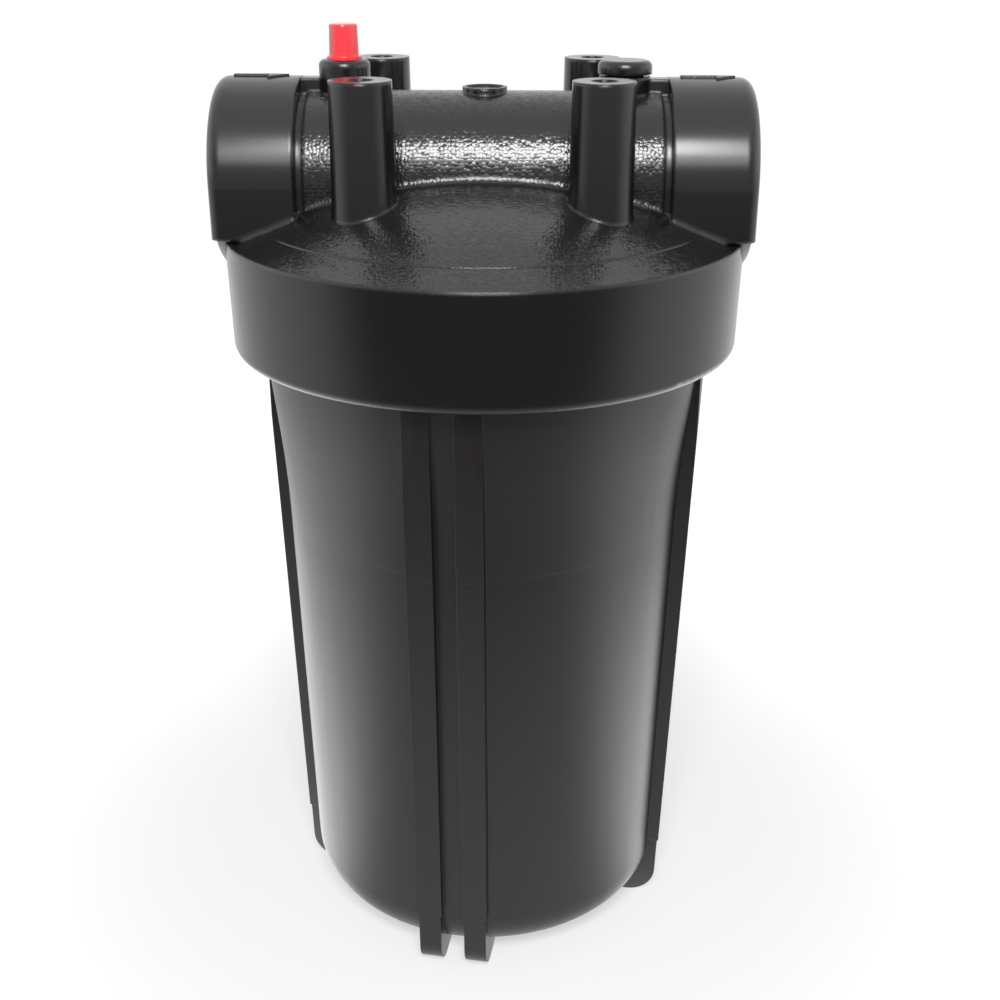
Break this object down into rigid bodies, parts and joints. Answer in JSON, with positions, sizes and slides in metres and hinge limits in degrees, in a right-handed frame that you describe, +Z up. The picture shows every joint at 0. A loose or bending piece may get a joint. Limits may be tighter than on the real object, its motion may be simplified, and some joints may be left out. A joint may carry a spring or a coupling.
{
  "type": "cartridge water filter housing",
  "caption": "Screw-capped canister filter: ribbed sump, two-port head with red relief button, pleated cartridge inside.",
  "frame": {"origin": "middle of the footprint at the height of the eight rib feet", "axes": "+Z up; the ports lie along X with the inlet and the red button at -X; -Y is the front"},
  "size_m": [0.184, 0.1836, 0.3432],
  "materials": {
    "sump_plastic": "satin moulded polypropylene",
    "head_plastic": "glossy and leather-grained moulded polypropylene",
    "button_plastic": "glossy red plastic",
    "seal_rubber": "black rubber",
    "gasket_rubber": "white elastomer",
    "media": "pleated non-woven",
    "cap_plastic": "white moulded plastic",
    "steel": "stainless steel"
  },
  "bodies": {
    "bowl": {"sump": "sump_plastic", "main_oring": "seal_rubber"},
    "cartridge": {"filter_media": "media", "cartridge_core": "cap_plastic", "top_end_cap": "cap_plastic", "bottom_end_cap": "cap_plastic", "bottom_gasket": "gasket_rubber"},
    "top_gasket": {"top_gasket": "gasket_rubber"},
    "head": {"head_cap": "head_plastic", "outlet_plug": "head_plastic", "plug_oring": "seal_rubber", "relief_spring": "steel"},
    "relief_button": {"relief_button": "button_plastic", "relief_oring": "seal_rubber", "relief_washer": "steel", "relief_screw": "steel"}
  },
  "joints": [
    {"name": "cartridge_lift", "type": "slide", "parent": "bowl", "child": "cartridge", "axis": [0, 0, 1], "range_m": [0, 0.27]},
    {"name": "head_turn", "type": "hinge", "parent": "cartridge", "child": "top_gasket", "pos_m": [0, 0, 0.26], "axis": [0, 0, 1], "range_deg": [0, 1440]},
    {"name": "head_rise", "type": "slide", "parent": "top_gasket", "child": "head", "axis": [0, 0, 1], "range_m": [0, 0.0201]},
    {"name": "relief_press", "type": "slide", "parent": "head", "child": "relief_button", "axis": [0, 0, -1], "range_m": [0, 0.003], "stiffness_N_per_m": 600, "springref_m": -0.002, "deforming": ["relief_spring"]}
  ],
  "couplings": [
    {"joint": "head_rise", "follows": "head_turn", "m_per_rad": 0.00079577}
  ]
}
